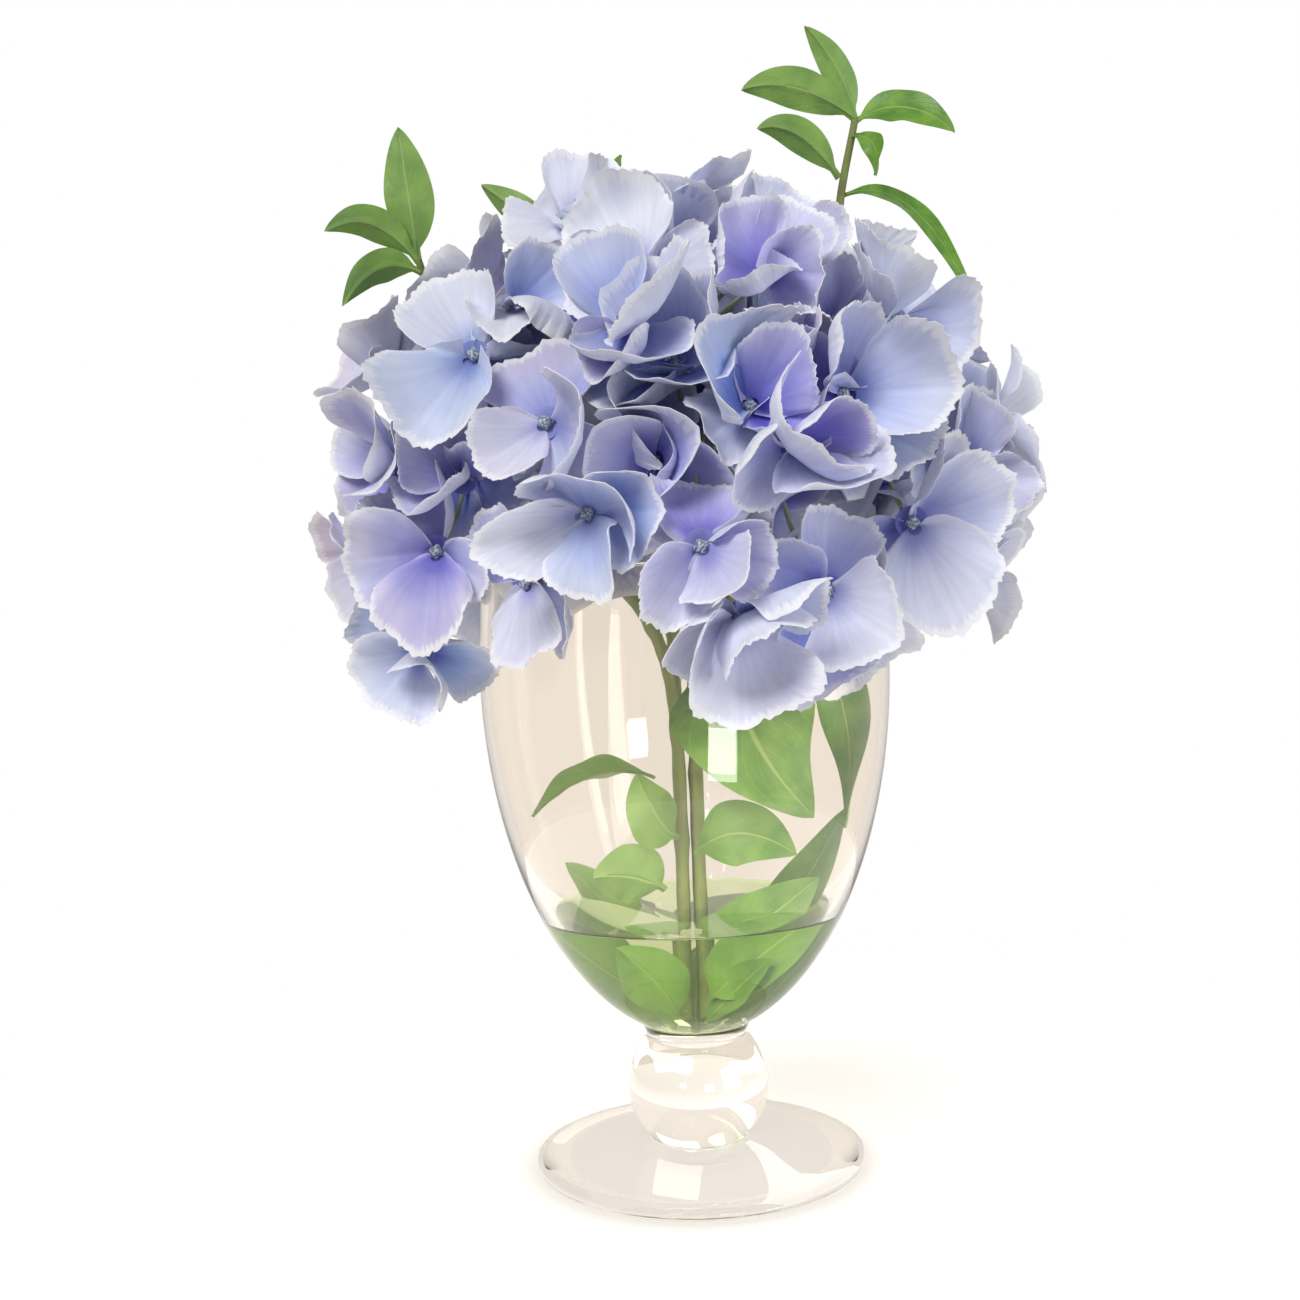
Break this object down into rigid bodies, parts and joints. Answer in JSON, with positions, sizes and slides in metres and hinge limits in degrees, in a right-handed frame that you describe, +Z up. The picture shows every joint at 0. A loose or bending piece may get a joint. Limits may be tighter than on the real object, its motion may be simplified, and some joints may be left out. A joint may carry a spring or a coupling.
{
  "type": "hydrangeas in a vase",
  "caption": "Blue mophead hydrangeas with leafy sprigs, standing in a clear footed glass vase with a ball stem and a little water.",
  "frame": {"origin": "middle of the vase's underside, on the table", "axes": "+Z up along the vase's axis, -Y towards the front of the arrangement, +X to the right seen from the front"},
  "size_m": [0.2341, 0.1867, 0.363],
  "materials": {
    "glass": "clear polished glass",
    "water": "clear set water, smooth top",
    "stem": "olive green stem",
    "leaf": "satin green leaf with paler veins",
    "sprig": "satin fresh green leaf",
    "sepal": "matt blue to lavender with paler, finely frayed edges"
  },
  "bodies": {
    "root": {"floret_front_01": "sepal", "floret_front_02": "sepal", "floret_front_03": "sepal", "floret_front_04": "sepal", "floret_front_05": "sepal", "floret_front_06": "sepal", "floret_front_07": "sepal", "floret_front_08": "sepal", "floret_front_09": "sepal", "floret_left_01": "sepal", "floret_left_02": "sepal", "floret_left_03": "sepal", "floret_left_04": "sepal", "floret_left_05": "sepal", "floret_left_06": "sepal", "floret_left_07": "sepal", "floret_left_08": "sepal", "floret_left_09": "sepal", "floret_right_01": "sepal", "floret_right_02": "sepal", "floret_right_03": "sepal", "floret_right_04": "sepal", "floret_right_05": "sepal", "floret_right_06": "sepal", "floret_right_07": "sepal", "floret_right_08": "sepal", "floret_right_09": "sepal", "floret_right_10": "sepal", "floret_top_01": "sepal", "floret_top_02": "sepal", "floret_top_03": "sepal", "floret_top_04": "sepal", "floret_top_05": "sepal", "floret_top_06": "sepal", "floret_top_07": "sepal", "floret_top_08": "sepal", "floret_top_09": "sepal", "floret_top_10": "sepal", "floret_top_11": "sepal", "floret_top_12": "sepal", "leaf_front_broad": "leaf", "leaf_left_arched": "leaf", "leaf_left_oval": "leaf", "leaf_left_small": "leaf", "leaf_left_water": "leaf", "leaf_right_arched": "leaf", "leaf_right_low": "leaf", "leaf_right_oval": "leaf", "leaf_right_tall": "leaf", "leaf_top_flat": "leaf", "leaf_top_left": "leaf", "leaf_top_point": "leaf", "sprig_left": "sprig", "sprig_right": "sprig", "stem_front": "stem", "stem_left": "stem", "stem_right": "stem", "stem_top": "stem", "vase": "glass", "water": "water"}
  },
  "joints": []
}
